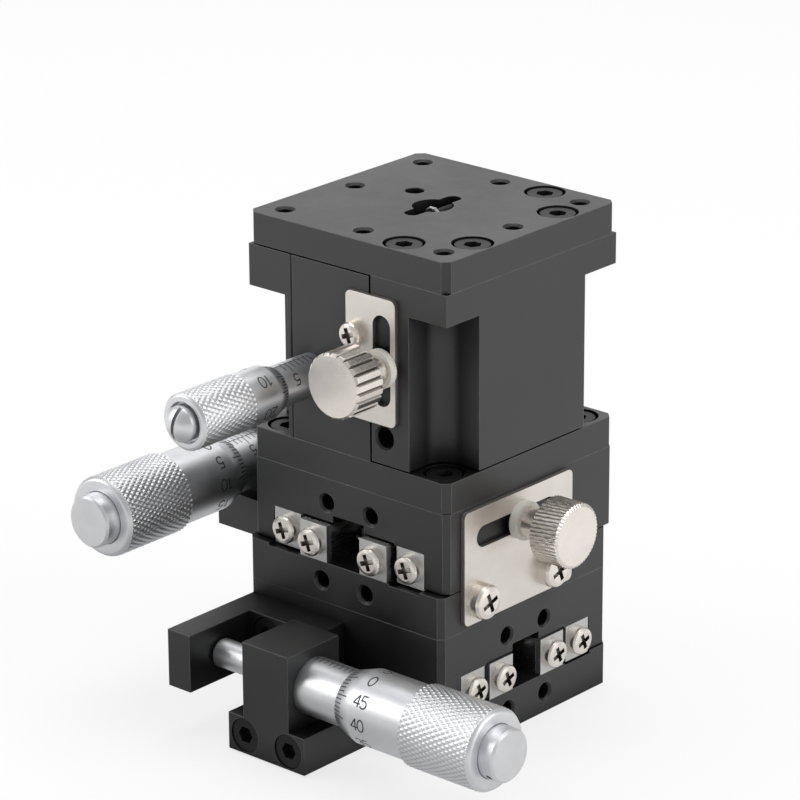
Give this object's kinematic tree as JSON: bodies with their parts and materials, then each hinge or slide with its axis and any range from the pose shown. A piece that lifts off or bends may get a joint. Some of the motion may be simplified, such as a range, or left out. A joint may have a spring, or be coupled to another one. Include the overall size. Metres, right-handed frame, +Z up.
{
  "type": "xyz linear stage",
  "caption": "Compact three-axis crossed-roller linear stage with a micrometer head, a lock plate and a thumbscrew on each axis.",
  "frame": {"origin": "centre of the lowest block's underside", "axes": "+Z up, +X along the lower stage's travel towards its micrometer's knob, +Y along the upper stage's travel, away from the face that the X micrometer stands in front of"},
  "size_m": [0.0833, 0.0811, 0.08],
  "materials": {
    "black_anodised": "satin black anodised",
    "rail_steel": "ground hardened steel",
    "stop_plate": "matt zinc plated",
    "nickel": "satin nickel plated",
    "black_oxide": "black oxide",
    "satin_chrome": "satin chrome plated",
    "nylon": "natural nylon",
    "brass_cage": "plain brass strip with steel rollers",
    "spring_wire": "drawn spring wire"
  },
  "bodies": {
    "base": {"x_base_block": "black_anodised", "x_inner_rails": "rail_steel", "x_inner_stops": "stop_plate", "base_pan_screws": "nickel", "x_bracket": "black_anodised", "x_bracket_screws": "black_oxide", "x_sleeve": "satin_chrome", "x_lock_plate": "nickel", "x_return_spring": "spring_wire"},
    "x_stage": {"x_table": "black_anodised", "x_outer_rails": "rail_steel", "x_arm": "black_anodised", "y_base_block": "black_anodised", "y_inner_rails": "rail_steel", "middle_stops": "stop_plate", "middle_pan_screws": "nickel", "y_bracket": "black_anodised", "middle_cap_screws": "black_oxide", "y_sleeve": "satin_chrome", "y_lock_plate": "nickel", "y_return_spring": "spring_wire"},
    "x_cage": {"x_roller_cages": "brass_cage"},
    "x_spindle": {"x_spindle": "satin_chrome"},
    "x_thimble": {"x_thimble": "satin_chrome", "x_end_cap": "satin_chrome"},
    "x_lock_washer": {"x_lock_washer": "nylon"},
    "x_lock_knob": {"x_lock_knob": "nickel"},
    "y_stage": {"y_table": "black_anodised", "y_outer_rails": "rail_steel", "y_outer_stops": "stop_plate", "upper_pan_screws": "nickel", "y_arm": "black_anodised", "upper_cap_screws": "black_oxide", "z_base_plate": "black_anodised", "z_fixed_block": "black_anodised", "z_side_block": "black_anodised", "z_fixed_rails": "rail_steel", "z_sleeve": "satin_chrome", "z_lock_plate": "nickel", "z_lever_pin": "rail_steel", "z_return_spring": "spring_wire"},
    "y_cage": {"y_roller_cages": "brass_cage"},
    "y_spindle": {"y_spindle": "satin_chrome"},
    "y_thimble": {"y_thimble": "satin_chrome", "y_end_cap": "satin_chrome"},
    "y_lock_washer": {"y_lock_washer": "nylon"},
    "y_lock_knob": {"y_lock_knob": "nickel"},
    "z_stage": {"z_carriage": "black_anodised", "top_plate": "black_anodised", "top_cap_screws": "black_oxide", "z_moving_rails": "rail_steel", "z_lift_screw": "black_oxide", "z_spring_pin": "satin_chrome"},
    "z_cage": {"z_roller_cages": "brass_cage"},
    "z_spindle": {"z_spindle": "satin_chrome"},
    "z_thimble": {"z_thimble": "satin_chrome", "z_end_screw": "satin_chrome"},
    "z_lock_washer": {"z_lock_washer": "nylon"},
    "z_lock_knob": {"z_lock_knob": "nickel"},
    "z_lever": {"z_lever": "rail_steel"}
  },
  "joints": [
    {"name": "x_thimble_turn", "type": "hinge", "parent": "x_spindle", "child": "x_thimble", "pos_m": [0.01975, -0.0324, 0.01265], "axis": [1, 0, 0], "range_deg": [-4500, 4860]},
    {"name": "x_slide", "type": "slide", "parent": "base", "child": "x_stage", "axis": [1, 0, 0], "range_m": [-0.00625, 0.00675], "deforming": ["x_return_spring"]},
    {"name": "x_cage_slide", "type": "slide", "parent": "base", "child": "x_cage", "axis": [1, 0, 0], "range_m": [-0.00313, 0.00337]},
    {"name": "x_spindle_slide", "type": "slide", "parent": "base", "child": "x_spindle", "axis": [1, 0, 0], "range_m": [-0.00625, 0.00675]},
    {"name": "x_lock_slide", "type": "slide", "parent": "x_stage", "child": "x_lock_washer", "axis": [0, 1, 0], "range_m": [0, 0.0005]},
    {"name": "x_lock_turn", "type": "hinge", "parent": "x_lock_washer", "child": "x_lock_knob", "pos_m": [0.0031, 0.025, 0.01475], "axis": [0, 1, 0], "range_deg": [0, 360]},
    {"name": "y_thimble_turn", "type": "hinge", "parent": "y_spindle", "child": "y_thimble", "pos_m": [-0.03265, -0.0187, 0.03265], "axis": [0, 1, 0], "range_deg": [-5616, 3744]},
    {"name": "y_slide", "type": "slide", "parent": "x_stage", "child": "y_stage", "axis": [0, 1, 0], "range_m": [-0.0078, 0.0052], "deforming": ["y_return_spring"]},
    {"name": "y_cage_slide", "type": "slide", "parent": "x_stage", "child": "y_cage", "axis": [0, 1, 0], "range_m": [-0.0039, 0.0026]},
    {"name": "y_spindle_slide", "type": "slide", "parent": "x_stage", "child": "y_spindle", "axis": [0, 1, 0], "range_m": [-0.0078, 0.0052]},
    {"name": "y_lock_slide", "type": "slide", "parent": "y_stage", "child": "y_lock_washer", "axis": [1, 0, 0], "range_m": [0, 0.0005]},
    {"name": "y_lock_turn", "type": "hinge", "parent": "y_lock_washer", "child": "y_lock_knob", "pos_m": [0.02475, -0.00205, 0.03475], "axis": [1, 0, 0], "range_deg": [0, 360]},
    {"name": "z_thimble_turn", "type": "hinge", "parent": "z_spindle", "child": "z_thimble", "pos_m": [-0.00745, -0.0337, 0.05645], "axis": [0, 1, 0], "range_deg": [0, 4680]},
    {"name": "z_slide", "type": "slide", "parent": "y_stage", "child": "z_stage", "axis": [0, 0, 1], "range_m": [0, 0.0065], "deforming": ["z_return_spring"]},
    {"name": "z_cage_slide", "type": "slide", "parent": "y_stage", "child": "z_cage", "axis": [0, 0, 1], "range_m": [0, 0.00325]},
    {"name": "z_spindle_slide", "type": "slide", "parent": "y_stage", "child": "z_spindle", "axis": [0, 1, 0], "range_m": [0, 0.0065]},
    {"name": "z_lever_turn", "type": "hinge", "parent": "y_stage", "child": "z_lever", "pos_m": [-0.00745, -0.0047, 0.06645], "axis": [1, 0, 0], "range_deg": [0, 37.93]},
    {"name": "z_lock_slide", "type": "slide", "parent": "z_stage", "child": "z_lock_washer", "axis": [0, -1, 0], "range_m": [0, 0.0005]},
    {"name": "z_lock_turn", "type": "hinge", "parent": "z_lock_washer", "child": "z_lock_knob", "pos_m": [0.00751, -0.0237, 0.0611], "axis": [0, -1, 0], "range_deg": [0, 360]}
  ],
  "couplings": [
    {"joint": "x_thimble_turn", "follows": "x_slide", "rad_per_m": 12566},
    {"joint": "x_spindle_slide", "follows": "x_slide", "ratio": 1},
    {"joint": "x_cage_slide", "follows": "x_slide", "ratio": 0.5},
    {"joint": "x_lock_turn", "follows": "x_lock_slide", "rad_per_m": 12566},
    {"joint": "y_thimble_turn", "follows": "y_slide", "rad_per_m": 12566},
    {"joint": "y_spindle_slide", "follows": "y_slide", "ratio": 1},
    {"joint": "y_cage_slide", "follows": "y_slide", "ratio": 0.5},
    {"joint": "y_lock_turn", "follows": "y_lock_slide", "rad_per_m": 12566},
    {"joint": "z_thimble_turn", "follows": "z_slide", "rad_per_m": 12566},
    {"joint": "z_spindle_slide", "follows": "z_slide", "ratio": 1},
    {"joint": "z_cage_slide", "follows": "z_slide", "ratio": 0.5},
    {"joint": "z_lever_turn", "follows": "z_slide", "rad_per_m": 101.85},
    {"joint": "z_lock_turn", "follows": "z_lock_slide", "rad_per_m": 12566}
  ]
}
